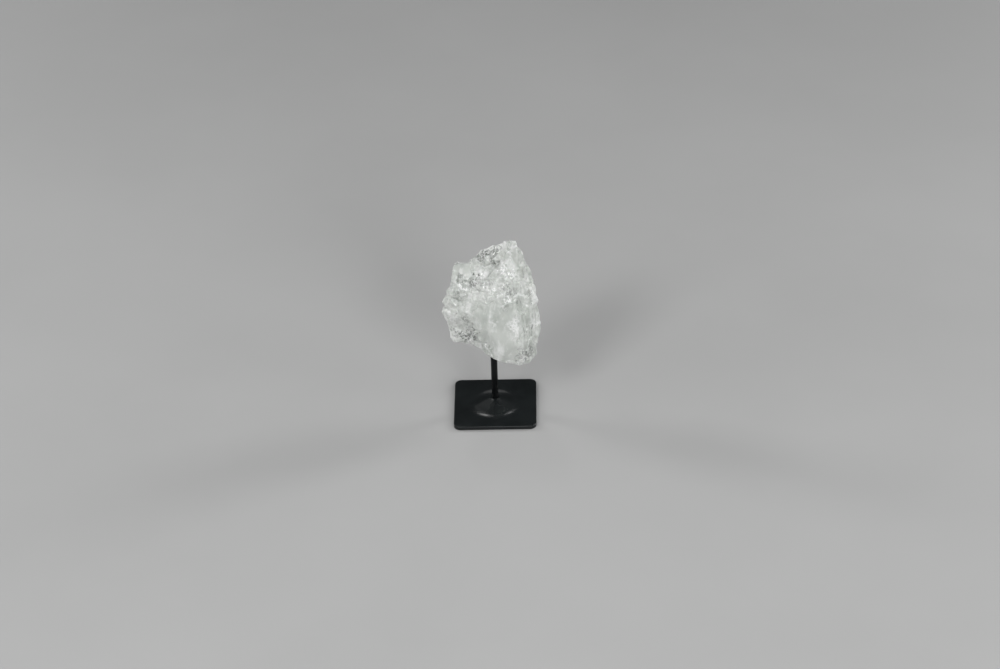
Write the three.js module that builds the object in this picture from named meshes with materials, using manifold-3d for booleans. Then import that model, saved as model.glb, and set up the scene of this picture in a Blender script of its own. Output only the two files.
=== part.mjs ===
// Rough quartz crystal on a display stand: a broken, translucent lump of quartz, drilled from below
// and carried on a steel pin, which stands in the raised boss of a square steel base plate.
//
// Units are millimetres, +Z is up, and the front of the stone faces -Y. The origin is the centre of
// the base plate's underside, straight below the pin.

import * as THREE from "three";
import { ConvexHull } from "three/addons/math/ConvexHull.js";
import { ImprovedNoise } from "three/addons/math/ImprovedNoise.js";
import { TessellateModifier } from "three/addons/modifiers/TessellateModifier.js";
import { mergeVertices } from "three/addons/utils/BufferGeometryUtils.js";
import Module from "manifold-3d";

const { lerp, smoothstep } = THREE.MathUtils;

// ---------------------------------------------------------------- driving dimensions

const plateSide = 60;
const plateThickness = 3;
const plateCorner = 5; // radius of the plate's corners in plan
const plateRound = 0.8; // rounding of its top and bottom edges

const bossHeight = 5.5; // of the boss's top above the plate
const bossTopRadius = 3.6; // of the flat round the pin
const bossConeFoot = 15.5; // radius where the straight flank passes into the hollow curve
const bossFoot = 20; // radius where the boss runs out into the plate

const pinRadius = 2.4;
const pinTop = 62;
const pinChamfer = 0.4;
const clearance = 0.3; // round the pin, in the plate and in the stone
const socketFloor = 1.5;

const heart = new THREE.Vector3(0, 1, 88); // every part of the stone's skin is in view from here
const meshSize = 3.4; // longest edge of the stone's facets
const boxLow = new THREE.Vector3(-45, -35, 35); // a box that holds the whole stone
const boxSize = new THREE.Vector3(90, 75, 115);

// ---------------------------------------------------------------- solids

const wasm = await Module();
wasm.setup();

// A closed geometry as a solid that can be cut and joined.
function solidOf(geometry) {
  const bare = geometry.clone();
  for (const name of Object.keys(bare.attributes)) {
    if (name !== "position") bare.deleteAttribute(name);
  }
  const merged = mergeVertices(bare, 1e-3);
  return new wasm.Manifold(
    new wasm.Mesh({
      numProp: 3,
      vertProperties: merged.attributes.position.array,
      triVerts: new Uint32Array(merged.index.array),
    }),
  );
}

function geometryOf(solid) {
  const { vertProperties, triVerts } = solid.getMesh();
  const geometry = new THREE.BufferGeometry();
  geometry.setAttribute("position", new THREE.BufferAttribute(vertProperties, 3));
  geometry.setIndex(new THREE.BufferAttribute(triVerts, 1));
  geometry.computeVertexNormals();
  return geometry;
}

// A round bar along Z, from one height to another.
function bar(radius, low, high, segments = 32) {
  return new THREE.CylinderGeometry(radius, radius, high - low, segments)
    .rotateX(Math.PI / 2)
    .translate(0, 0, (low + high) / 2);
}

// A profile of (radius, height) points turned round the Z axis.
function turned(profile, segments = 48) {
  return new THREE.LatheGeometry(profile, segments).rotateX(Math.PI / 2);
}

// ---------------------------------------------------------------- base plate and pin

function basePlate() {
  const half = plateSide / 2 - plateRound;
  const corner = plateCorner - plateRound;
  const outline = new THREE.Shape();
  for (let quarter = 0; quarter < 4; quarter++) {
    const turn = (quarter * Math.PI) / 2;
    const x = (half - corner) * (quarter === 0 || quarter === 3 ? 1 : -1);
    const y = (half - corner) * (quarter < 2 ? 1 : -1);
    outline.absarc(x, y, corner, turn, turn + Math.PI / 2);
  }
  const plate = new THREE.ExtrudeGeometry(outline, {
    depth: plateThickness - 2 * plateRound,
    bevelThickness: plateRound,
    bevelSize: plateRound,
    bevelSegments: 3,
    curveSegments: 6,
  }).translate(0, 0, plateRound);

  // The boss is a low cone that runs out into the plate in a hollow curve.
  const top = plateThickness + bossHeight;
  const curveWidth = bossFoot - bossConeFoot;
  const slope = bossHeight / (bossConeFoot - bossTopRadius + curveWidth / 2);
  const sunk = 1; // how far the boss's own bottom lies inside the plate
  const profile = new THREE.Path();
  profile.moveTo(0, plateThickness - sunk);
  profile.lineTo(bossFoot, plateThickness - sunk);
  profile.lineTo(bossFoot, plateThickness);
  profile.quadraticCurveTo(
    bossFoot - curveWidth / 2,
    plateThickness,
    bossConeFoot,
    plateThickness + (slope * curveWidth) / 2,
  );
  profile.lineTo(bossTopRadius, top);
  profile.lineTo(0, top);
  const boss = turned(profile.getPoints(6));

  const socket = bar(pinRadius + clearance, socketFloor, top + 1);
  return geometryOf(solidOf(plate).add(solidOf(boss)).subtract(solidOf(socket)));
}

function pin() {
  const narrow = pinRadius - pinChamfer;
  const profile = [
    [0, socketFloor],
    [narrow, socketFloor],
    [pinRadius, socketFloor + pinChamfer],
    [pinRadius, pinTop - pinChamfer],
    [narrow, pinTop],
    [0, pinTop],
  ].map(([radius, height]) => new THREE.Vector2(radius, height));
  return turned(profile, 24);
}

// ---------------------------------------------------------------- stone

// Where the stone's broken faces meet, as [x, y, z].
const corners = {
  // The horn at the top and the crest that falls from it to the left
  horn: [18, 3, 140.5],
  hornShelf: [13.5, 8, 137.5],
  hornBack: [15.5, 13, 133],
  crestHigh: [8, 11, 134],
  crestMiddle: [-1, 15, 128.5],
  crestLow: [-8.5, 15, 123],
  saddle: [-15.5, 12, 118.5],
  shoulderBack: [-25, 9, 119.5],
  shoulder: [-26.5, 4, 120.5],

  // The front edge of the top face
  topLeft: [-16.5, 4, 121.5],
  topMiddle: [-4, 4, 121],
  topRight: [6.5, 4, 122],
  hornFoot: [14, 2, 129],
  hornRidge: [19, -1, 121],

  // Left side, downwards
  blockFoot: [-27, -2, 113],
  blockFootRight: [-15, -4, 113.5],
  shoulderFoot: [-28.3, 0, 106],
  lumpLeft: [-25.5, -7, 107],
  leftCheek: [-32.3, -2, 100],
  toothHigh: [-35.5, -2, 93],
  toothNotch: [-33, -3, 89.5],
  toothLow: [-36, -4, 86],
  leftWaist: [-32.5, -4, 77],
  leftLobe: [-31.5, -5, 70],
  leftLobeFoot: [-30.5, -7, 65],

  // The lower edge, from left to right
  underLeft: [-24, -8, 62.5],
  underMiddle: [-16.5, -9, 61.5],
  underNotch: [-7.5, -12, 59],
  lipLeft: [-5, -16, 56.5],
  lipMiddle: [3, -18, 52.5],
  lipRight: [10, -18, 50],
  toe: [19, -16, 47.5],
  toeRight: [26, -13, 47.5],
  heelRight: [32, -8, 52.5],

  // Right side, upwards
  rightLow: [32.5, -6, 61],
  rightKnob: [33.7, -4, 73],
  rightMiddle: [33, 0, 82],
  rightHigh: [32, 2, 94],
  rightUpper: [29.5, 5, 107],
  rightNeck: [22.5, 5, 123],
  neckBack: [20.5, 15, 115],

  // The ledge between the upper and the lower front face
  ledgeLeft: [-26.5, -9, 99.5],
  ledgeStep: [-12.5, -14, 105.5],
  ledgeTop: [1.5, -16, 110.5],
  ledgeRight: [14, -18, 102],
  ledgeEnd: [20, -14, 103],
  ridgeMiddle: [19.5, -8, 112],
  browHollow: [-4, -6, 113],

  // The lower front face
  cheekLeft: [-26, -13, 90],
  swellLeft: [-12, -18.3, 91],
  swellMiddle: [6, -20, 91],
  patch: [17, -20.5, 79],
  creaseMiddle: [-3, -19.3, 80],
  overhang: [-18, -15, 80.5],
  recess: [-18, -10, 73],
  recessLow: [-12, -10.5, 66],
  creaseFoot: [-6, -15, 66],
  lobe: [4, -20.8, 66],
  lobeRight: [15, -20, 61],
  edgeHigh: [27.5, -7, 97],
  edgeMiddle: [28, -11, 82],
  edgeLow: [28, -13, 61],

  // The back
  backShoulder: [-21, 19, 109],
  backTop: [13, 20, 126],
  backLeft: [-29, 16, 84],
  backKeel: [-4, 28, 96],
  backRight: [25, 18, 92],
  backLowLeft: [-20, 16, 68],
  backLowMiddle: [4, 22, 66],
  backLowRight: [23, 12, 60],

  // The underside round the pin
  underBack: [-3, 12, 54],
  seat: [0, 0, 48.5],
  underRight: [16, 0, 45.5],
  underLeftBack: [-17, 3, 59],
};

// The corners joined into triangles: the hull of their directions from the heart.
function brokenFaces() {
  const directions = new Map();
  for (const [x, y, z] of Object.values(corners)) {
    const corner = new THREE.Vector3(x, y, z);
    directions.set(corner.clone().sub(heart).normalize(), corner);
  }
  const positions = [];
  for (const face of new ConvexHull().setFromPoints([...directions.keys()]).faces) {
    let edge = face.edge;
    do {
      positions.push(...directions.get(edge.head().point));
      edge = edge.next;
    } while (edge !== face.edge);
  }
  return new THREE.BufferGeometry().setAttribute(
    "position",
    new THREE.Float32BufferAttribute(positions, 3),
  );
}

// A repeatable stream of numbers from 0 to 1.
function randomStream(seed) {
  let state = seed;
  return () => {
    state = (Math.imul(state, 1664525) + 1013904223) >>> 0;
    return state / 2 ** 32;
  };
}

// Chips, as where flakes broke off: each is a shallow bowl that leans its own way, so that they meet
// in sharp ridges and small steps. The value at a point is the height there, in units of the size.
function chips(size, seed, lean) {
  const random = randomStream(seed);
  const count = Math.round((boxSize.x * boxSize.y * boxSize.z) / size ** 3);
  const flakes = [];
  for (let i = 0; i < count; i++) {
    flakes.push({
      centre: new THREE.Vector3(random(), random(), random()).multiply(boxSize).add(boxLow),
      tilt: new THREE.Vector3(random() - 0.5, random() - 0.5, random() - 0.5).setLength(lean),
    });
  }
  return (point) => {
    let nearest = flakes[0];
    for (const flake of flakes) {
      if (point.distanceToSquared(flake.centre) < point.distanceToSquared(nearest.centre)) {
        nearest = flake;
      }
    }
    const offset = point.clone().sub(nearest.centre).divideScalar(size);
    return offset.length() - 0.5 + offset.dot(nearest.tilt);
  };
}

const largeChips = chips(15, 7, 0.6);
const smallChips = chips(7, 23, 0.6);
const waves = new ImprovedNoise();

// Where the stone broke more smoothly than elsewhere (strength below 1) or more roughly (above 1),
// as [x, y, z, reach, strength].
const places = [
  [4, -20, 84, 26, 0.3], // lower front face
  [8, -19, 62, 14, 0.3], // lobe under it
  [-21, 1, 117, 10, 0.3], // block at the left shoulder
  [16, 0, 126, 9, 0.3], // below the horn
  [-28, 8, 92, 12, 0.4], // left side
  [10, 26, 90, 22, 0.4], // back
  [-4, -8, 112, 18, 1.7], // upper front face
  [-18, -11, 71, 13, 1.6], // recess at the lower left
  [27, -12, 54, 10, 1.5], // lower right corner
].map(([x, y, z, reach, strength]) => ({ centre: new THREE.Vector3(x, y, z), reach, strength }));

// How rough the stone is at a point. It is nothing right at a corner, so that corners stay put.
function roughness(point) {
  let share = 1;
  for (const { centre, reach, strength } of places) {
    share *= lerp(strength, 1, smoothstep(point.distanceTo(centre), reach / 2, reach));
  }
  for (const [x, y, z] of Object.values(corners)) {
    share *= smoothstep(point.distanceTo(new THREE.Vector3(x, y, z)), 0, 5);
  }
  return share;
}

// How far the skin stands out from the flat faces at a point.
function relief(point) {
  const swell = waves.noise(point.x / 17, point.y / 17, point.z / 17);
  const grain = waves.noise(point.x / 3.1, point.y / 3.1, point.z / 4.5);
  const height = 2.6 * largeChips(point) + 1.6 * smallChips(point) + 1.2 * swell + 0.4 * grain;
  return roughness(point) * height;
}

function stone() {
  const faces = new TessellateModifier(meshSize, 12).modify(brokenFaces());
  const skin = mergeVertices(faces, 1e-3);
  const place = skin.attributes.position;
  for (let i = 0; i < place.count; i++) {
    const point = new THREE.Vector3().fromBufferAttribute(place, i);
    const outward = point.clone().sub(heart).normalize();
    point.addScaledVector(outward, relief(point));
    place.setXYZ(i, ...point);
  }
  const hole = bar(pinRadius + clearance, socketFloor, pinTop, 24);
  return geometryOf(solidOf(skin).subtract(solidOf(hole)));
}

// ---------------------------------------------------------------- assembly

const paintedSteel = new THREE.MeshStandardMaterial({
  color: 0x15181a,
  roughness: 0.38,
  metalness: 0.3,
});
const quartz = new THREE.MeshStandardMaterial({
  color: 0xc3c8c2,
  roughness: 0.2,
  metalness: 0,
  transparent: true,
  opacity: 0.85,
});

const crystalOnStand = new THREE.Group();
for (const [name, geometry, material] of [
  ["base_plate", basePlate(), paintedSteel],
  ["pin", pin(), paintedSteel],
  ["quartz", stone(), quartz],
]) {
  const mesh = new THREE.Mesh(geometry, material);
  mesh.name = name;
  crystalOnStand.add(mesh);
}

export default crystalOnStand;
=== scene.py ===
# %% [markdown]
# # Rough quartz crystal on a pin stand
# A broken lump of quartz, milky in places and clear in others, is held up on a thin round pin. The
# pin stands in the raised middle of a small square steel plate, and both are painted satin black.
# The solids of the three pieces come ready made, in metres, with the origin under the plate's
# centre. This script gives them their fine shape, their finish and a small studio.

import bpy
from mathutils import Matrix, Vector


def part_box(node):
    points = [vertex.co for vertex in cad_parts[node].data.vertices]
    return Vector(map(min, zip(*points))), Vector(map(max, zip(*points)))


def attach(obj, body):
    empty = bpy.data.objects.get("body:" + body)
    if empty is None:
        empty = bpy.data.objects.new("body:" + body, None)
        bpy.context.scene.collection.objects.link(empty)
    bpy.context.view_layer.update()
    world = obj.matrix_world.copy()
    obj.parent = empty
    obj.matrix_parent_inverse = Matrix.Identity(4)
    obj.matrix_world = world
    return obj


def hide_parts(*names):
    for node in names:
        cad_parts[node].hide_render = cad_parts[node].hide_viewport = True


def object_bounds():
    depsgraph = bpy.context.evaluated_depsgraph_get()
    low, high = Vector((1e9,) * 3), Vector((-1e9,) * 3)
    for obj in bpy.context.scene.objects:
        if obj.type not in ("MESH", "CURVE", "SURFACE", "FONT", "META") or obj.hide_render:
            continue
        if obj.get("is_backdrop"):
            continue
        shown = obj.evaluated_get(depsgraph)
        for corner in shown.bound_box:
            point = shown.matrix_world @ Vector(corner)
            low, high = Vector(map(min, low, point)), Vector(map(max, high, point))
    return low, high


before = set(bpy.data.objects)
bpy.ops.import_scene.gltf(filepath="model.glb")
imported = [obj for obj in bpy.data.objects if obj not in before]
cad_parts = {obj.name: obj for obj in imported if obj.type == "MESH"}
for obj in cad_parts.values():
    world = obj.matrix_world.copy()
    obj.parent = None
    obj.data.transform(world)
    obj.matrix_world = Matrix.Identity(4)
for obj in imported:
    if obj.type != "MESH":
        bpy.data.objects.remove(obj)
solid_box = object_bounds()
print("solids:", sorted(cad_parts))

# %% Tools used throughout
import math
import random
from functools import partial
from types import SimpleNamespace

import bmesh
import bpy
from mathutils import Matrix, Vector, noise
from mathutils.kdtree import KDTree

MM = 0.001
NOISE_SEED = 1
scene = bpy.context.scene
noise.seed_set(NOISE_SEED)  # without a seed, vector noise starts from the clock
print("noise starts from seed", NOISE_SEED)

# %% [markdown]
# ## Camera
# A long lens from two metres away, looking down at about 34 degrees, almost square on and leaning
# very slightly. The camera's three axes are worked out from the angles and go straight into its
# matrix, which is simpler than turning it in steps. It is then slid sideways, not turned, until the
# plate's centre sits at its place in the picture.

# %% Camera: angles and lens
VIEW_AZIMUTH = math.radians(1.4)
VIEW_ELEVATION = math.radians(34.1)
VIEW_LEAN = math.radians(1.8)
VIEW_DISTANCE = 2.03
LENS_MM = 100.0
SENSOR_MM = 36.0
PICTURE_SIZE = (1000, 669)
PLATE_IN_PICTURE = (495.4, 402.6)  # pixels from the left and from the top
VIEW_REACH = 50  # metres

back = Vector((
    math.sin(VIEW_AZIMUTH) * math.cos(VIEW_ELEVATION),
    -math.cos(VIEW_AZIMUTH) * math.cos(VIEW_ELEVATION),
    math.sin(VIEW_ELEVATION),
))
level = Vector((math.cos(VIEW_AZIMUTH), math.sin(VIEW_AZIMUTH), 0))
upright = back.cross(level)
right = level * math.cos(VIEW_LEAN) - upright * math.sin(VIEW_LEAN)
up = level * math.sin(VIEW_LEAN) + upright * math.cos(VIEW_LEAN)
print("camera looks along", [round(-value, 3) for value in back])

# %% Camera: place
plate_low, plate_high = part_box("base_plate")
PLATE_THICKNESS = 3.0 * MM
plate_centre = Vector((0, 0, PLATE_THICKNESS))

metres_per_pixel = SENSOR_MM / LENS_MM / PICTURE_SIZE[0] * VIEW_DISTANCE
slide_right = (PLATE_IN_PICTURE[0] - PICTURE_SIZE[0] / 2) * metres_per_pixel
slide_down = (PLATE_IN_PICTURE[1] - PICTURE_SIZE[1] / 2) * metres_per_pixel

camera_data = bpy.data.cameras.new("camera")
camera_data.lens = LENS_MM
camera_data.sensor_width = SENSOR_MM
camera_data.clip_end = VIEW_REACH
camera = bpy.data.objects.new("camera", camera_data)
place = plate_centre + back * VIEW_DISTANCE - right * slide_right + up * slide_down
camera.matrix_world = Matrix.Translation(place) @ Matrix((right, up, back)).transposed().to_4x4()
scene.collection.objects.link(camera)
scene.camera = camera
print("camera at", [round(value, 3) for value in place])

# %% [markdown]
# ## Helpers for meshes and materials
# Each piece is shaped in a bmesh and then written to an object that stays at the origin. A material
# is a graph of nodes, which could be put together by hand in the shader editor. Here a few helpers
# add a node and join it up in one line each, so that a pattern reads like a sum.

# %% Helpers for meshes
def finish_piece(name, shape, material, node):
    """Writes a bmesh to a new object that stands for a solid."""
    mesh = bpy.data.meshes.new(name)
    shape.to_mesh(mesh)
    shape.free()
    mesh.materials.append(material)
    piece = bpy.data.objects.new(name, mesh)
    scene.collection.objects.link(piece)
    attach(piece, "root")
    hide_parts(node)
    print(name, "has", len(mesh.polygons), "faces")


def soften_by_angle(shape, limit_degrees):
    """Smooth shading, apart from edges sharper than the limit."""
    limit = math.radians(limit_degrees)
    for face in shape.faces:
        face.smooth = True
    for edge in shape.edges:
        edge.smooth = len(edge.link_faces) == 2 and edge.calc_face_angle(0) < limit


# %% Helpers for nodes
def new_material(name):
    """A material with its shader and a coordinate in the part's own frame, in metres."""
    material = bpy.data.materials.new(name)
    material.use_nodes = True
    nodes = material.node_tree.nodes
    shader = nodes["Principled BSDF"]
    place = nodes.new("ShaderNodeTexCoord").outputs["Object"]
    return material, shader, place


def add_node(material, kind, inputs=None, **settings):
    """Adds a node. An input is given as a value or as the output that feeds it."""
    node = material.node_tree.nodes.new(kind)
    for name, value in settings.items():
        setattr(node, name, value)
    for name, value in (inputs or {}).items():
        if isinstance(value, bpy.types.NodeSocket):
            material.node_tree.links.new(value, node.inputs[name])
        else:
            node.inputs[name].default_value = value
    return node


def link(material, output, target):
    """Feeds an input from an output."""
    material.node_tree.links.new(output, target)


# %% Helpers for patterns
def clouds(material, place, scale, detail=4.0, roughness=0.55, stretch=(1, 1, 1)):
    """Soft noise of about 1 / scale metres, from 0 to 1."""
    mapped = add_node(material, "ShaderNodeMapping", {"Vector": place, "Scale": stretch})
    texture = add_node(
        material, "ShaderNodeTexNoise",
        {
            "Vector": mapped.outputs["Vector"], "Scale": scale,
            "Detail": detail, "Roughness": roughness,
        },
    )
    return texture.outputs["Fac"]


def spread(material, value, low, high, to_low=0.0, to_high=1.0):
    """Stretches a value from low..high to to_low..to_high, and holds it within them."""
    return add_node(
        material, "ShaderNodeMapRange",
        {"Value": value, "From Min": low, "From Max": high, "To Min": to_low, "To Max": to_high},
        interpolation_type="SMOOTHSTEP",
    ).outputs["Result"]


def combine(material, operation, first, second):
    """The sum, product or the like of two numbers."""
    node = add_node(material, "ShaderNodeMath", {0: first, 1: second}, operation=operation)
    return node.outputs[0]


# %% Helpers for colours
# The Mix node has inputs for each kind of value under the same names, so they go by number here.
MIX_SHARE, MIX_FIRST, MIX_SECOND, MIX_RESULT = 0, 6, 7, 2


def blend_colour(material, share, first, second):
    """first where share is 0 and second where it is 1."""
    inputs = {MIX_SHARE: share, MIX_FIRST: first, MIX_SECOND: second}
    mix = add_node(material, "ShaderNodeMix", inputs, data_type="RGBA")
    return mix.outputs[MIX_RESULT]


def opaque(colour):
    """A colour with the fourth number that a colour input asks for."""
    return (*colour, 1)


# %% [markdown]
# ## The quartz: shape
# The solid already has the lump's faces, ledges and larger chips, but its facets are over two
# millimetres wide. Sculpting could add the rest by hand. Here the mesh is split finer with one
# operator, and each point is then moved a little along its normal by a few repeatable patterns:
# small flakes that meet in sharp ridges, and fine upright growth lines down the right side. The
# moves are small against the stone, so it keeps its outline.

# %% Quartz: rough and smooth places
# Each place is a centre and a reach in millimetres, and how rough the break is there. The common
# roughness is 1, an old smooth face has less and a fresh break more.
ROUGHNESS_PLACES = [
    ((4, -20, 84), 26, 0.25),  # lower front face
    ((8, -19, 62), 14, 0.25),  # lobe under it
    ((-21, 1, 117), 10, 0.3),  # block at the left shoulder
    ((16, 0, 126), 9, 0.35),  # below the horn
    ((-28, 8, 92), 12, 0.4),  # left side
    ((33, -1, 92), 16, 0.25),  # right side
    ((34, -3, 70), 14, 0.3),
    ((26, -9, 84), 9, 0.35),
    ((28, 4, 112), 10, 0.4),
    ((2, 12, 131), 9, 0.5),  # crest
    ((18, 4, 138), 8, 0.3),  # horn
    ((10, 26, 90), 22, 0.4),  # back
    ((-4, -8, 112), 18, 1.5),  # upper front face
    ((-18, -11, 71), 13, 1.5),  # recess at the lower left
    ((27, -12, 54), 10, 0.9),  # lower right corner
]
print("rough and smooth places:", len(ROUGHNESS_PLACES))

# %% Quartz: clear places
# Here the last number says how clear the stone is, from 0 to 1. The rest of it is milky. Where it
# is clear, dark specks are painted in, as painted shade for the dark seen through clear quartz.
CLEAR_PLACES = [
    ((-9, 9, 122), 7, 1.0),  # top face
    ((-3, 10, 125), 6, 1.0),
    ((2, 10, 129), 6, 1.0),
    ((3, 5, 123), 6, 0.9),
    ((-11, -1, 117), 4, 1.0),  # under the left shoulder
    ((-21, -3, 113), 5, 0.7),
    ((-12, -6, 111), 7, 1.0),
    ((-24, -9, 103), 6, 0.5),
    ((-1, -9, 112), 6, 0.5),  # upper front face
    ((13, -14, 110), 8, 0.6),
    ((10, -19, 99), 4, 0.5),
    ((27, -5, 102), 5, 0.6),  # right side
    ((25, 2, 113), 6, 0.5),
    ((19, -14, 100), 5, 0.4),
    ((-18, -15, 85), 6, 0.7),  # lower left
    ((-14, -15, 78), 5, 0.9),
    ((-15, -13, 72), 9, 1.0),
    ((-27, -7, 72), 7, 0.8),
    ((-19, -10, 67), 8, 1.0),
    ((24, -15, 57), 10, 0.9),  # lower right corner
    ((19, -17, 54), 6, 0.7),
    ((12, 22, 102), 13, 0.8),  # back
    ((-12, 20, 76), 12, 0.8),
]
print("clear places:", len(CLEAR_PLACES))

# %% Quartz: frosted places
# And here it says how much it is painted white, from 0 to 1. This is partly the frost of tiny white
# breaks and partly painted highlight, on glints, lit edges and thin rims that glow.
FROST_AND_HIGHLIGHT_PLACES = [
    ((10, -4, 122), 10, 1.0),  # upper front face
    ((14, 2, 129), 5, 0.9),
    ((16, -4, 117), 7, 0.9),
    ((10, -12, 115), 6, 0.8),
    ((-8, -3, 116), 7, 0.8),
    ((-5, -9, 111), 5, 0.9),
    ((-21, -5, 109), 6, 0.9),
    ((-17, -9, 106), 7, 1.0),  # along the ledge
    ((4, -16, 110), 9, 1.0),
    ((12, -17, 104), 8, 1.0),
    ((15, -20, 83), 9, 1.0),  # lower front face
    ((15, -20, 74), 6, 0.7),
    ((1, -19, 86), 5, 0.6),
    ((-4, -15, 65), 4, 0.9),
    ((-30, -8, 81), 6, 0.7),  # left side
    ((0, -18, 59), 10, 0.6),  # lobe
    ((31, -4, 95), 10, 0.7),  # right side
    ((30, -7, 78), 10, 0.8),
    ((17, 3, 138), 8, 0.9),  # horn
    ((12, 5, 133), 6, 0.7),
    ((-6, 24, 112), 12, 0.8),  # back
    ((16, 20, 74), 12, 0.8),
]
print("frosted places:", len(FROST_AND_HIGHLIGHT_PLACES))

# %% Quartz: fine grooves
# Each has a start, an end, a width and a depth, all in millimetres. The colour is darkened along
# them too, as painted shade.
GROOVES = [
    ((28, -6, 97), (28, -9, 77), 1.3, 0.8),  # where the right side meets the front
    ((28, -9, 77), (27, -13, 61), 1.3, 0.8),
    ((-8, -17, 100), (-4, -18, 84), 1.6, 0.15),  # faint line down the lower front face
    ((-4, -18, 84), (-6, -14, 63), 1.6, 0.15),
]
print("grooves:", len(GROOVES))

# %% Quartz: from places to a value at each point
BORDER_WAVE = 6.0 * MM
BORDER_SHIFT = 0.6  # of the wave's width
ROUGHNESS_CORE = 0.5  # share of a place's reach inside which it counts in full
LOOK_CORE = 0.3


def smooth_between(value, low, high):
    """0 up to low and 1 from high, with a soft rise between them."""
    share = min(max((value - low) / (high - low), 0.0), 1.0)
    return share * share * (3 - 2 * share)


def wavy(point):
    """The point moved a little, so that round places get ragged borders."""
    return point + noise.noise_vector(point / BORDER_WAVE) * BORDER_WAVE * BORDER_SHIFT


def roughness_at(point):
    """1 where the break has the common roughness, and less or more in the places of the list."""
    share = 1.0
    point = wavy(point)
    for centre, reach, strength in ROUGHNESS_PLACES:
        away = (point - Vector(centre) * MM).length / (reach * MM)
        share *= strength + (1 - strength) * smooth_between(away, ROUGHNESS_CORE, 1.0)
    return share


def nearness(point, places):
    """1 at the heart of the nearest place, fading to 0 at its border."""
    share = 0.0
    point = wavy(point)
    for centre, reach, strength in places:
        away = (point - Vector(centre) * MM).length / (reach * MM)
        share = max(share, strength * (1 - smooth_between(away, LOOK_CORE, 1.0)))
    return share


def groove_at(point):
    """How deep the grooves are at a point, in millimetres."""
    depth = 0.0
    for start, end, width, full_depth in GROOVES:
        start, end = Vector(start) * MM, Vector(end) * MM
        along = (point - start).dot(end - start) / (end - start).length_squared
        nearest = start.lerp(end, min(max(along, 0), 1))
        away = (point - nearest).length / (width * MM)
        depth = max(depth, full_depth * (1 - smooth_between(away, 0, 1)))
    return depth


# %% Quartz: flakes
COARSE_FLAKE = 6.0 * MM
FINE_FLAKE = 2.6 * MM
FLAKE_LEAN = 0.6
COARSE_SEED = 11
FINE_SEED = 12
stone_low, stone_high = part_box("quartz")


def flakes(size, seed):
    """Makes shallow bowls that each lean their own way, and gives their height at a point."""
    draw = random.Random(seed)
    span = stone_high - stone_low
    count = round(span.x * span.y * span.z / size**3)
    centres = KDTree(count)
    tilts = []
    for index in range(count):
        centre = [draw.uniform(low, high) for low, high in zip(stone_low, stone_high)]
        centres.insert(centre, index)
        tilt = Vector((draw.gauss(0, 1), draw.gauss(0, 1), draw.gauss(0, 1)))
        tilts.append(tilt.normalized() * FLAKE_LEAN)
    centres.balance()
    print(count, "flakes of", round(size / MM, 1), "mm")

    def height(point):
        """As a share of the size. Half is taken off, so that the stone doesn't grow as a whole."""
        centre, index, distance = centres.find(point)
        return distance / size - 0.5 + (point - centre).dot(tilts[index]) / size

    return height


coarse_flakes = flakes(COARSE_FLAKE, COARSE_SEED)
fine_flakes = flakes(FINE_FLAKE, FINE_SEED)


# %% Quartz: relief
COARSE_FLAKE_DEPTH = 1.1  # depths are in millimetres
FINE_FLAKE_DEPTH = 0.45
WAVE_DEPTH = 0.3
GROWTH_LINE_DEPTH = 0.5
WAVE_WIDTH = 7.0 * MM
GROWTH_LINE_WIDTH = 1.6 * MM
GROWTH_LINE_STRETCH = 0.06  # how fast they change upwards, where across is 1
RIGHT_SIDE = Vector((0.85, -0.5, 0)).normalized()
SIDE_BEGINS, SIDE_FULL = 0.7, 0.9  # how much a face looks to the right, where 1 is straight
PIN_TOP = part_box("pin")[1].z
BORE_REACH = 3.2 * MM


def facing_right(normal):
    """1 on the flat right side, fading to 0 as the surface turns away."""
    return smooth_between(normal.dot(RIGHT_SIDE), SIDE_BEGINS, SIDE_FULL)


def growth_lines(point):
    """Upright ridges, of the kind that run up a quartz crystal's sides."""
    along = Vector((point.x, point.y, point.z * GROWTH_LINE_STRETCH)) / GROWTH_LINE_WIDTH
    return noise.noise(along)


def away_from_bore(point):
    """0 on the hole for the pin, which keeps its shape, and 1 elsewhere."""
    if point.z > PIN_TOP + BORE_REACH:
        return 1.0
    return smooth_between(math.hypot(point.x, point.y), BORE_REACH, 2 * BORE_REACH)


def relief(point, normal):
    """How far a point moves out along its normal, in metres."""
    rough = roughness_at(point)
    return MM * away_from_bore(point) * (
        COARSE_FLAKE_DEPTH * rough * coarse_flakes(point)
        + FINE_FLAKE_DEPTH * rough * fine_flakes(point)
        + WAVE_DEPTH * noise.noise(point / WAVE_WIDTH)
        + GROWTH_LINE_DEPTH * facing_right(normal) * growth_lines(point)
        - groove_at(point)
    )


# %% Quartz: split, soften and move
SAME_PLACE = 0.001 * MM  # points nearer than this are one
CUTS = 4  # in each edge
SOFTENING_ROUNDS = 7
SOFTENING = 0.5  # how far each point goes to the middle of its neighbours in a round
STONE_EDGE_ANGLE = 32  # degrees, above which an edge stays sharp
stone = bmesh.new()
stone.from_mesh(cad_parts["quartz"].data)
bmesh.ops.remove_doubles(stone, verts=stone.verts, dist=SAME_PLACE)
bmesh.ops.subdivide_edges(stone, edges=stone.edges, cuts=CUTS, use_grid_fill=True)
skin = [vert for vert in stone.verts if away_from_bore(vert.co) > 0]
for _ in range(SOFTENING_ROUNDS):
    bmesh.ops.smooth_vert(
        stone, verts=skin, factor=SOFTENING,
        use_axis_x=True, use_axis_y=True, use_axis_z=True,
    )
stone.normal_update()
# All moves are worked out before the first is made, because a move turns its neighbours' normals.
moves = [(vert, vert.normal * relief(vert.co, vert.normal)) for vert in skin]
for vert, move in moves:
    vert.co += move
stone.normal_update()
soften_by_angle(stone, STONE_EDGE_ANGLE)
print("quartz triangles:", len(stone.faces))
lengths = sorted(move.length / MM for vert, move in moves)
middle_move, largest_move = lengths[len(lengths) // 2], lengths[-1]
print(f"moves: half are under {middle_move:.2f} mm, and the largest is {largest_move:.2f} mm")


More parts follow.
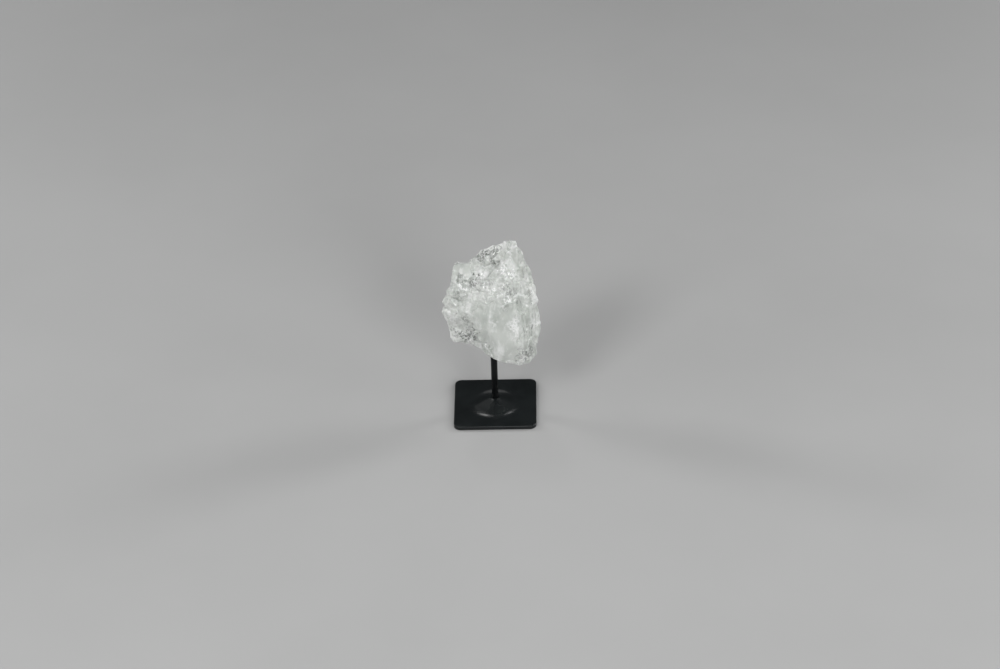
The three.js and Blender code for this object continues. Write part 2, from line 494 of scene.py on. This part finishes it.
# %% Quartz: what the material needs to know of the shape
def edge_sharpness(vert):
    """How far a point stands out from its neighbours: over 0 on a ridge and under 0 in a crease."""
    bends = [
        (vert.co - edge.other_vert(vert).co).normalized().dot(vert.normal)
        for edge in vert.link_edges
    ]
    return sum(bends) / len(bends)


def mark(shape, name, value_at):
    """Stores a value on each point, which the material reads back by its name."""
    layer = shape.verts.layers.float.new(name)
    for vert in shape.verts:
        vert[layer] = value_at(vert)
    print("marked:", name)


mark(stone, "broken", lambda vert: roughness_at(vert.co))
mark(stone, "clear", lambda vert: nearness(vert.co, CLEAR_PLACES))
mark(stone, "frosted", lambda vert: nearness(vert.co, FROST_AND_HIGHLIGHT_PLACES))
mark(stone, "edge", edge_sharpness)
mark(stone, "side", lambda vert: facing_right(vert.normal))
mark(stone, "groove", lambda vert: groove_at(vert.co))

# %% [markdown]
# ## The quartz: material
# Quartz is clear, but this lump is full of fine veils and cracks, so most of it looks milky and
# only small windows are clear. The veils could be modelled one by one inside a glass body, which
# takes long to make and to render. Here it is one shader. Part of the light goes through, with the
# refraction of quartz, and picks up a pale green on the way. The rest is scattered back by a
# pattern of milky, clear and frosted places, which also sets how polished the surface is. The clear
# windows are painted dark, as painted shade for what clear quartz shows of a dark surround. The
# frosted places and ridges are painted white, partly as real frost and partly as painted highlight
# and the glow of thin edges.

# %% Quartz: marks and patterns
# The scale of each noise, its detail and roughness, its stretch in height, and the part of its
# range that becomes 0 to 1. A scale of 100 gives a pattern of about 10 mm.
PATTERNS = {
    "milky": (45, 4, 0.55, 1, 0.38, 0.62),
    "veils": (170, 6, 0.55, 0.3, 0.48, 0.70),
    "wisps": (420, 5, 0.55, 0.4, 0.54, 0.70),
    "streaks": (900, 4, 0.55, 0.06, 0.42, 0.60),
    "windows": (1000, 3, 0.55, 0.45, 0.46, 0.62),
    "frost_grain": (600, 6, 0.7, 1, 0.41, 0.56),
}


def shape_mark(material, name):
    """A value that was stored on the points of the mesh."""
    return add_node(material, "ShaderNodeAttribute", attribute_name=name).outputs["Fac"]


def pattern(material, place, name):
    """One of the patterns in the table."""
    scale, detail, roughness, rise, low, high = PATTERNS[name]
    noise_value = clouds(material, place, scale, detail, roughness, stretch=(1, 1, rise))
    return spread(material, noise_value, low, high)


print("patterns in the stone:", ", ".join(PATTERNS))

# %% Quartz: shards
SHARD_SIZE = 1.6 * MM
SHARD_WAVES = 1.2  # waves of a border in the length of a shard
NOISE_MIDDLE = (0.5, 0.5, 0.5)


def combine_vectors(material, operation, first, second):
    """The sum or difference of two vectors, or their dot product as a number."""
    node = add_node(material, "ShaderNodeVectorMath", {0: first, 1: second}, operation=operation)
    return node.outputs["Value" if operation == "DOT_PRODUCT" else "Vector"]


def shards(material, place, size):
    """Angular cells with ragged borders: a random tone for each, and a height that tilts it."""
    ragged = add_node(
        material, "ShaderNodeTexNoise",
        {"Vector": place, "Scale": SHARD_WAVES / size, "Detail": 3.0},
    )
    shift = combine_vectors(material, "SUBTRACT", ragged.outputs["Color"], NOISE_MIDDLE)
    reach = add_node(
        material, "ShaderNodeVectorMath", {0: shift, "Scale": size}, operation="SCALE"
    )
    moved = combine_vectors(material, "ADD", place, reach.outputs["Vector"])
    cells = add_node(material, "ShaderNodeTexVoronoi", {"Vector": moved, "Scale": 1 / size})
    inside = combine_vectors(material, "SUBTRACT", moved, cells.outputs["Position"])
    lean = combine_vectors(material, "SUBTRACT", cells.outputs["Color"], NOISE_MIDDLE)
    height = combine_vectors(material, "DOT_PRODUCT", inside, lean)
    tone = add_node(material, "ShaderNodeSeparateColor", {"Color": cells.outputs["Color"]})
    return tone.outputs["Red"], combine(material, "DIVIDE", height, size)


# %% Quartz: where it is broken, clear and frosted, and where shade and highlight are painted
# A range runs from what becomes 0 to what becomes 1.
BROKEN_RANGE = (0.3, 1.0)  # of the mark for roughness
RIDGE_RANGE = (0.05, 0.5)  # of the mark for sharp edges
CRACK_SCALE = 520
CRACK_STRETCH = (1, 1, 0.6)
CRACK_MIDDLE = 0.5
CRACK_RANGE = (0.07, 0.015)  # how far the noise is from its middle
WINDOW_STRENGTH = 0.7
CLEAR_TONES = (0.85, 0.45)  # the palest shards stay milky
# Frost and painted highlight both leave out the darkest shards.
FROST_AND_HIGHLIGHT_TONES = (0.25, 0.5)  # and the darkest stay without frost


def stone_looks(material, place):
    """What the colour and the polish are made from. All but the shards' tilt run from 0 to 1."""
    multiply = partial(combine, material, "MULTIPLY")
    look = SimpleNamespace(**{name: pattern(material, place, name) for name in PATTERNS})
    look.tone, look.tilt = shards(material, place, SHARD_SIZE)
    look.broken = spread(material, shape_mark(material, "broken"), *BROKEN_RANGE)
    look.ridge = spread(material, shape_mark(material, "edge"), *RIDGE_RANGE)
    look.side = shape_mark(material, "side")
    look.groove = shape_mark(material, "groove")

    # A noise crosses its middle along thin winding lines, which make good cracks.
    crack_noise = clouds(material, place, CRACK_SCALE, detail=4, stretch=CRACK_STRETCH)
    off_middle = combine(material, "SUBTRACT", crack_noise, CRACK_MIDDLE)
    cracks = spread(material, combine(material, "ABSOLUTE", off_middle, 0), *CRACK_RANGE)
    look.specks = combine(material, "MAXIMUM", cracks, multiply(look.windows, WINDOW_STRENGTH))

    clear_shards = spread(material, look.tone, *CLEAR_TONES)
    look.clear = multiply(shape_mark(material, "clear"), clear_shards)
    frosted_shards = spread(material, look.tone, *FROST_AND_HIGHLIGHT_TONES)
    frosted = multiply(shape_mark(material, "frosted"), frosted_shards)
    look.frost = multiply(look.frost_grain, frosted)
    return look


# %% Quartz: colour
GREY_MILK = (0.52, 0.55, 0.515)
PALE_MILK = (0.66, 0.68, 0.65)
VEIL = (0.95, 0.955, 0.945)
WISP = (0.97, 0.975, 0.97)
PALE_SHARD = (0.93, 0.935, 0.925)
GREY_SHARD = (0.34, 0.37, 0.33)
GREY_STREAK = (0.34, 0.37, 0.33)
# Painted shade: the clear windows are painted dark, for the dark seen through clear quartz.
PAINTED_WINDOW_SHADE = (0.08, 0.09, 0.08)
# Painted shade along the grooves.
PAINTED_GROOVE_SHADE = (0.12, 0.14, 0.12)
# White of frost on fresh breaks, and partly painted highlight: glints, lit edges and glowing rims.
FROST_AND_HIGHLIGHT_WHITE = (0.99, 0.99, 0.99)
# How strongly each coat covers what is under it, at most.
VEIL_COVER = 0.8
WISP_COVER = 0.5
PALE_SHARD_COVER = 0.6
GREY_SHARD_COVER = 0.35
STREAK_COVER = 0.5
RIDGE_COVER = 0.7
MIDDLE_TONE = 0.45  # shards above it get paler, and those below it greyer


def stone_colour(material, look):
    """Colours laid over each other like thin coats, from the milky body to frost and painted
    highlight.
    """
    multiply = partial(combine, material, "MULTIPLY")
    paler = multiply(spread(material, look.tone, MIDDLE_TONE, 1.0), look.frost_grain)
    greyer = multiply(spread(material, look.tone, MIDDLE_TONE, 0.0), look.specks)
    # Ridges are painted white, partly as chipped edges and partly as the painted glow of thin
    # edges.
    ridges = multiply(look.ridge, multiply(look.broken, RIDGE_COVER))
    coats = [
        (multiply(look.veils, VEIL_COVER), VEIL),
        (multiply(look.wisps, WISP_COVER), WISP),
        (multiply(paler, multiply(look.broken, PALE_SHARD_COVER)), PALE_SHARD),
        (multiply(greyer, multiply(look.broken, GREY_SHARD_COVER)), GREY_SHARD),
        (multiply(look.streaks, multiply(look.side, STREAK_COVER)), GREY_STREAK),
        # painted shade: dark specks in the clear windows
        (multiply(look.specks, look.clear), PAINTED_WINDOW_SHADE),
        # painted shade in the grooves
        (look.groove, PAINTED_GROOVE_SHADE),
        # frost, and painted highlight on lit places and ridges
        (combine(material, "MAXIMUM", look.frost, ridges), FROST_AND_HIGHLIGHT_WHITE),
    ]
    body = blend_colour(material, look.milky, opaque(GREY_MILK), opaque(PALE_MILK))
    for cover, colour in coats:
        body = blend_colour(material, cover, body, opaque(colour))
    return body


# %% Quartz: polish and grain
SMOOTH_FACE_ROUGHNESS = 0.38
BROKEN_FACE_ROUGHNESS = 0.13
CLEAR_SHARE_OF_ROUGHNESS = 0.5
FROST_ROUGHNESS = 0.4
GRAIN_SCALE = 500
SHARD_TILT = 4.5
GRAIN_STRENGTH = 0.5
GRAIN_HEIGHT = 0.2 * MM


def stone_roughness(material, look):
    """Fresh breaks and clear windows shine, smooth old faces and frost are duller."""
    multiply = partial(combine, material, "MULTIPLY")
    breaks = spread(material, look.broken, 0, 1, SMOOTH_FACE_ROUGHNESS, BROKEN_FACE_ROUGHNESS)
    polish = multiply(breaks, spread(material, look.clear, 0, 1, 1, CLEAR_SHARE_OF_ROUGHNESS))
    return combine(material, "MAXIMUM", multiply(look.frost, FROST_ROUGHNESS), polish)


def stone_grain(material, place, look):
    """Fine bumps, and a tilt for each shard, so that a few of them flash."""
    multiply = partial(combine, material, "MULTIPLY")
    grain = clouds(material, place, GRAIN_SCALE, detail=6, roughness=0.6)
    tilts = multiply(multiply(look.tilt, look.broken), SHARD_TILT)
    height = combine(material, "ADD", grain, tilts)
    bump = add_node(
        material, "ShaderNodeBump",
        {"Height": height, "Strength": GRAIN_STRENGTH, "Distance": GRAIN_HEIGHT},
    )
    return bump.outputs["Normal"]


# %% Quartz: material
QUARTZ_REFRACTION = 1.544
LIGHT_LET_THROUGH = 0.38
SCATTER_DEPTH = 1.5 * MM
QUARTZ_SHEEN = 0.5
LIGHT_LEFT_INSIDE = (0.86, 0.92, 0.87)  # the rest is taken out on the way through
ABSORPTION = 5.0


def quartz_material():
    """The stone's one shader, and the absorption inside it."""
    material, shader, place = new_material("milky_quartz")
    look = stone_looks(material, place)
    link(material, stone_colour(material, look), shader.inputs["Base Color"])
    link(material, stone_roughness(material, look), shader.inputs["Roughness"])
    link(material, stone_grain(material, place, look), shader.inputs["Normal"])
    shader.inputs["IOR"].default_value = QUARTZ_REFRACTION
    shader.inputs["Transmission Weight"].default_value = LIGHT_LET_THROUGH
    shader.inputs["Subsurface Weight"].default_value = 1.0
    shader.inputs["Subsurface Radius"].default_value = (1, 1, 1)
    shader.inputs["Subsurface Scale"].default_value = SCATTER_DEPTH
    shader.inputs["Sheen Weight"].default_value = QUARTZ_SHEEN
    absorption = add_node(
        material, "ShaderNodeVolumeAbsorption",
        {"Color": opaque(LIGHT_LEFT_INSIDE), "Density": ABSORPTION},
    )
    output = material.node_tree.nodes["Material Output"]
    link(material, absorption.outputs["Volume"], output.inputs["Volume"])
    print(material.name, "has", len(material.node_tree.nodes), "nodes")
    return material


finish_piece("quartz_crystal", stone, quartz_material(), "quartz")

# %% [markdown]
# ## The stand: material
# The plate and the pin are steel with a thin coat of satin black paint. One plain black would look
# like a hole in the render. A sprayed coat is never quite flat or even, so a fine bump breaks up
# its reflections, and its colour drifts a little from place to place. The pin is duller than the
# plate, so one function makes both paints and takes the gloss as a number.

# %% Black paint
PLATE_BLACK = (0.0085, 0.0102, 0.0105)
PIN_BLACK = (0.0040, 0.0045, 0.0048)
PLATE_GLOSS = 0.3  # 0.5 is the gloss of common varnish
PIN_GLOSS = 0.15
DRIFT_SCALE = 60
DRIFT_RANGE = (0.35, 0.65)
DARKEST_SHARE = 0.75  # of the colour
PAINT_ROUGHNESS = (0.18, 0.20)
PEEL_SCALE = 1100
PEEL_STRENGTH = 0.15
PEEL_HEIGHT = 0.04 * MM


def black_paint(name, colour, gloss):
    """Satin paint of a colour that drifts, with more or less gloss."""
    material, shader, place = new_material(name)
    drift = spread(material, clouds(material, place, DRIFT_SCALE, detail=3), *DRIFT_RANGE)
    darkest = [channel * DARKEST_SHARE for channel in colour]
    drifting = blend_colour(material, drift, opaque(darkest), opaque(colour))
    link(material, drifting, shader.inputs["Base Color"])
    roughness = spread(material, drift, 0, 1, *PAINT_ROUGHNESS)
    link(material, roughness, shader.inputs["Roughness"])
    peel = clouds(material, place, PEEL_SCALE, detail=2)
    bump = add_node(
        material, "ShaderNodeBump",
        {"Height": peel, "Strength": PEEL_STRENGTH, "Distance": PEEL_HEIGHT},
    )
    link(material, bump.outputs["Normal"], shader.inputs["Normal"])
    shader.inputs["Specular IOR Level"].default_value = gloss
    print(material.name, "has gloss", gloss)
    return material


plate_paint = black_paint("satin_black_paint", PLATE_BLACK, PLATE_GLOSS)
pin_paint = black_paint("dull_black_paint", PIN_BLACK, PIN_GLOSS)

# %% [markdown]
# ## The stand: base plate
# The plate is square, with round corners and soft rims, and rises in the middle to a low cone that
# runs out into the flat in a hollow curve. Joining a cone to a box with a boolean would leave a
# hard seam and untidy faces. Here a cube with bevelled edges gives the plate. Its top face is taken
# off, the cone's outline is spun round the middle, and the two open loops are bridged, so that the
# piece is one closed skin.

# %% Base plate: measures
PLATE_CORNER = 5.0 * MM
PLATE_RIM = 0.8 * MM
CORNER_SEGMENTS = 12
RIM_SEGMENTS = 5
BOSS_TOP = 3.6 * MM  # radius of the flat round the pin
CONE_FOOT = 14.0 * MM  # radius where the straight flank passes into the hollow curve
BOSS_FOOT = 21.5 * MM  # radius where the curve meets the flat
BEND = 0.4 * MM  # how far from a bend the points that hold it sit
SOCKET_EDGE = 0.2 * MM
SPIN_STEPS = 96
STAND_EDGE_ANGLE = 25  # degrees
PIN_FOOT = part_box("pin")[0].z
PIN_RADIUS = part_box("pin")[1].x
print("boss:", round((plate_high.z - PLATE_THICKNESS) / MM, 1), "mm above the plate")


# %% Base plate: helpers
def bevel(shape, edges, width, segments):
    """Rounds edges, with the settings that the editor's own bevel starts from."""
    bmesh.ops.bevel(
        shape, geom=edges, offset=width, offset_type="OFFSET", affect="EDGES",
        segments=segments, profile=0.5, material=-1,
    )


def flat_faces(shape):
    """The faces that look straight up or down."""
    return [face for face in shape.faces if abs(face.normal.z) > 0.99]


def put_in_order(shape):
    """Bevel numbers what it makes by chance, so points and faces get new numbers by their place."""
    across = Vector((1.0, 1.37, 1.93))  # no two places share a value along it
    shape.verts.sort(key=lambda vert: vert.co.dot(across))
    shape.faces.sort(key=lambda face: face.calc_center_median().dot(across))


def curve(start, bend, end, steps=16):
    """Points of a parabola, without its start, that heads for bend from both of its ends."""
    shares = [step / steps for step in range(1, steps + 1)]
    return [start.lerp(bend, share).lerp(bend.lerp(end, share), share) for share in shares]


# %% Base plate: shape
def boss_profile():
    """The boss's outline as (radius, height), from the pin's socket out to the flat."""
    top = plate_high.z
    hollow = BOSS_FOOT - CONE_FOOT
    slope = (top - PLATE_THICKNESS) / (CONE_FOOT - BOSS_TOP + hollow / 2)
    turn = Vector((CONE_FOOT, PLATE_THICKNESS + slope * hollow / 2))
    corner = Vector((BOSS_FOOT - hollow / 2, PLATE_THICKNESS))
    foot = Vector((BOSS_FOOT, PLATE_THICKNESS))
    socket = [(0, PIN_FOOT), (PIN_RADIUS, PIN_FOOT), (PIN_RADIUS, top - SOCKET_EDGE)]
    flat = [(PIN_RADIUS + SOCKET_EDGE, top), (BOSS_TOP - BEND, top)]
    flank = [(BOSS_TOP + BEND, top - slope * BEND), turn - Vector((BEND, -slope * BEND)), turn]
    return socket + flat + flank + curve(turn, corner, foot)


def plate_shape():
    """A cube with rounded corners and rims."""
    side = plate_high.x - plate_low.x
    plate = bmesh.new()
    bmesh.ops.create_cube(plate, size=1)
    bmesh.ops.scale(plate, vec=(side, side, PLATE_THICKNESS), verts=plate.verts)
    bmesh.ops.translate(plate, vec=(0, 0, PLATE_THICKNESS / 2), verts=plate.verts)
    corners = [edge for edge in plate.edges if abs(edge.verts[0].co.z - edge.verts[1].co.z) > MM]
    bevel(plate, corners, PLATE_CORNER, CORNER_SEGMENTS)
    rims = [edge for face in flat_faces(plate) for edge in face.edges]
    bevel(plate, rims, PLATE_RIM, RIM_SEGMENTS)
    return plate


def add_boss(plate):
    """Puts the spun boss in the place of the plate's top face."""
    top_face = max(plate.faces, key=lambda face: face.calc_area() * face.normal.z)
    outer_loop = list(top_face.edges)
    bmesh.ops.delete(plate, geom=[top_face], context="FACES_ONLY")
    before = set(plate.edges)
    verts = [plate.verts.new((radius, 0, height)) for radius, height in boss_profile()]
    line = [plate.edges.new(pair) for pair in zip(verts, verts[1:])]
    bmesh.ops.spin(
        plate, geom=verts + line, cent=(0, 0, 0), axis=(0, 0, 1), angle=2 * math.pi,
        steps=SPIN_STEPS, use_merge=True,
    )
    bmesh.ops.remove_doubles(plate, verts=plate.verts, dist=SAME_PLACE)
    inner_loop = [edge for edge in plate.edges if edge not in before and edge.is_boundary]
    bmesh.ops.bridge_loops(plate, edges=outer_loop + inner_loop)
    bmesh.ops.recalc_face_normals(plate, faces=plate.faces)
    put_in_order(plate)


plate = plate_shape()
add_boss(plate)
soften_by_angle(plate, STAND_EDGE_ANGLE)
print("plate is closed:", all(edge.is_manifold for edge in plate.edges))
finish_piece("base_plate_painted", plate, plate_paint, "base_plate")

# %% [markdown]
# ## The stand: pin
# A plain round rod with softened ends. It goes down into the plate and up into the stone. A circle
# could be extruded, but a cone with two equal radii is there in one step and has its caps already.
# A bevel then softens the ends.

# %% Pin
PIN_CHAMFER = 0.4 * MM
PIN_SEGMENTS = 64
CHAMFER_SEGMENTS = 2
pin = bmesh.new()
bmesh.ops.create_cone(
    pin, cap_ends=True, cap_tris=False, segments=PIN_SEGMENTS,
    radius1=PIN_RADIUS, radius2=PIN_RADIUS, depth=PIN_TOP - PIN_FOOT,
)
bmesh.ops.translate(pin, vec=(0, 0, (PIN_TOP + PIN_FOOT) / 2), verts=pin.verts)
rims = [edge for face in flat_faces(pin) for edge in face.edges]
bevel(pin, rims, PIN_CHAMFER, CHAMFER_SEGMENTS)
soften_by_angle(pin, STAND_EDGE_ANGLE)
finish_piece("pin_painted", pin, pin_paint, "pin")

# %% [markdown]
# ## The studio
# A plain pale floor, a dim surround and soft lamps. An even bright surround would be simpler, but
# the stone would look flat in it. A key at the front left, a fill at the front right and a weaker
# lamp above show the stone's form, two low ones keep its sides from going dark, and two at the back
# edge it with light. Black paint shows little but what it mirrors, so the other lamps are placed by
# their reflections: the cone's flanks mirror the two strips towards the camera, and its hollow foot
# mirrors the two small ones as glints.

# %% Floor
FLOOR_SIZE = 12.0
FLOOR_GREYS = ((0.34, 0.34, 0.338), (0.36, 0.36, 0.358))
FLOOR_PATCH_SCALE = 3
FLOOR_PATCH_RANGE = (0.3, 0.7)
FLOOR_ROUGHNESS = 0.8


def floor_material():
    """Pale grey with faint, large patches."""
    material, shader, place = new_material("floor")
    patches = spread(material, clouds(material, place, FLOOR_PATCH_SCALE), *FLOOR_PATCH_RANGE)
    colour = blend_colour(material, patches, *map(opaque, FLOOR_GREYS))
    link(material, colour, shader.inputs["Base Color"])
    shader.inputs["Roughness"].default_value = FLOOR_ROUGHNESS
    return material


floor_shape = bmesh.new()
bmesh.ops.create_grid(floor_shape, x_segments=1, y_segments=1, size=FLOOR_SIZE / 2)
floor_mesh = bpy.data.meshes.new("floor")
floor_shape.to_mesh(floor_mesh)
floor_shape.free()
floor_mesh.materials.append(floor_material())
floor = bpy.data.objects.new("floor", floor_mesh)
scene.collection.objects.link(floor)
floor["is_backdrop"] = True
print("floor:", FLOOR_SIZE, "m square")


# %% Lamps
def lamp(name, place, aim, size, power):
    """A rectangular lamp that faces a point. Places and sizes are in metres, power in watts."""
    data = bpy.data.lights.new(name, "AREA")
    data.shape = "RECTANGLE"
    data.size, data.size_y = size
    data.energy = power
    light = bpy.data.objects.new(name, data)
    light.location = place
    light.rotation_euler = (Vector(aim) - Vector(place)).to_track_quat("-Z", "Y").to_euler()
    scene.collection.objects.link(light)


AT_STONE = (0, 0, 0.09)
AT_PLATE = (0, 0, 0)
lamp("key_front_left", (-0.8, -1.15, 1.15), AT_STONE, (0.5, 0.5), 14)
lamp("fill_front_right", (0.65, -1.55, 0.8), AT_STONE, (0.5, 0.9), 16.5)
lamp("above", (0.03, -0.50, 1.50), AT_STONE, (0.35, 0.5), 4)
lamp("strip_back_left", (-0.60, 0.85, 1.35), AT_PLATE, (0.35, 1.00), 0.50)
lamp("strip_back_right", (0.60, 0.85, 1.35), AT_PLATE, (0.35, 1.00), 0.12)
lamp("glint_back_left", (-0.25, 0.84, 1.28), AT_PLATE, (0.10, 0.26), 1.1)
lamp("glint_back_right", (0.28, 0.87, 1.26), AT_PLATE, (0.10, 0.20), 0.5)
lamp("fill_low_left", (-1.28, -0.53, 0.45), AT_STONE, (0.5, 0.6), 2)
lamp("fill_low_right", (1.28, -0.53, 0.45), AT_STONE, (0.5, 0.6), 5)
lamp("rim_left", (-1.35, 0.56, 0.7), AT_STONE, (0.3, 0.7), 10)
lamp("rim_right", (1.35, 0.56, 0.7), AT_STONE, (0.3, 0.7), 10)
print("lamps:", len(bpy.data.lights))

# %% Surround and tone
SURROUND_COLOUR = (0.9, 0.95, 1.0)
SURROUND_STRENGTH = 0.06
world = bpy.data.worlds.new("surround")
scene.world = world
world.use_nodes = True
surround = world.node_tree.nodes["Background"]
surround.inputs["Color"].default_value = opaque(SURROUND_COLOUR)
surround.inputs["Strength"].default_value = SURROUND_STRENGTH
scene.view_settings.view_transform = "Standard"  # shows colours as they are, without a film curve
print("surround:", SURROUND_STRENGTH, "with the", scene.view_settings.view_transform, "view")

# %% [markdown]
# ## Size and finish
# The dressed part should fill the same box as the solids, so both boxes are written down.

# %% Size and finish
dressed_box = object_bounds()
for title, box in (("solids", solid_box), ("dressed", dressed_box)):
    print(title, [[round(value / MM, 1) for value in corner] for corner in box], "mm")
